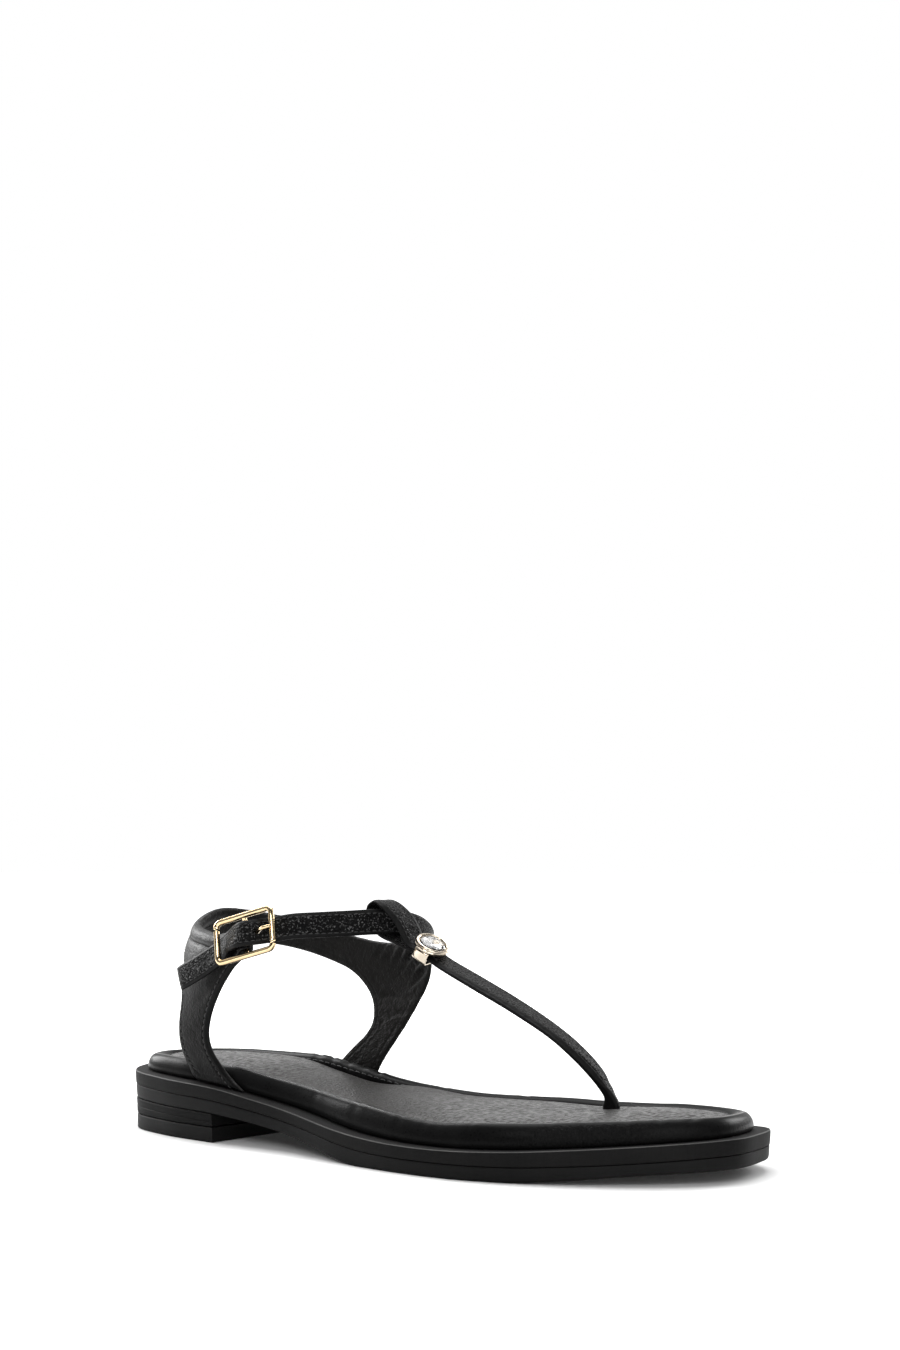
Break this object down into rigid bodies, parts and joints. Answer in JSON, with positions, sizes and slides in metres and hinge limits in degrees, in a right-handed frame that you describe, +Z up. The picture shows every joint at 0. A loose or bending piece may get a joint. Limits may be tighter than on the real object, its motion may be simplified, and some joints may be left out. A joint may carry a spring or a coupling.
{
  "type": "toe post sandal",
  "caption": "Flat leather sandal for the right foot with a toe post, padded footbed, low stacked heel, heel quarter and buckled ankle strap with a stone ornament.",
  "frame": {"origin": "middle of the bounding box on the floor", "axes": "+X from heel to toe, +Y to the medial side, +Z up"},
  "size_m": [0.2516, 0.0932, 0.0837],
  "materials": {
    "sole_rubber": "satin black rubber",
    "welt_rubber": "satin black, finely grained",
    "footbed_leather": "soft black leather over padding",
    "upper_leather": "glossy black leather",
    "gold_metal": "polished pale gold",
    "crystal": "clear cut stone"
  },
  "bodies": {
    "root": {"outsole": "sole_rubber", "welt": "welt_rubber", "heel_block": "sole_rubber", "heel_top_piece": "sole_rubber", "footbed": "footbed_leather", "upper": "upper_leather", "buckle_frame": "gold_metal", "buckle_prong": "gold_metal", "buckle_chape": "upper_leather", "ornament_bezel": "gold_metal", "ornament_stone": "crystal"}
  },
  "joints": []
}
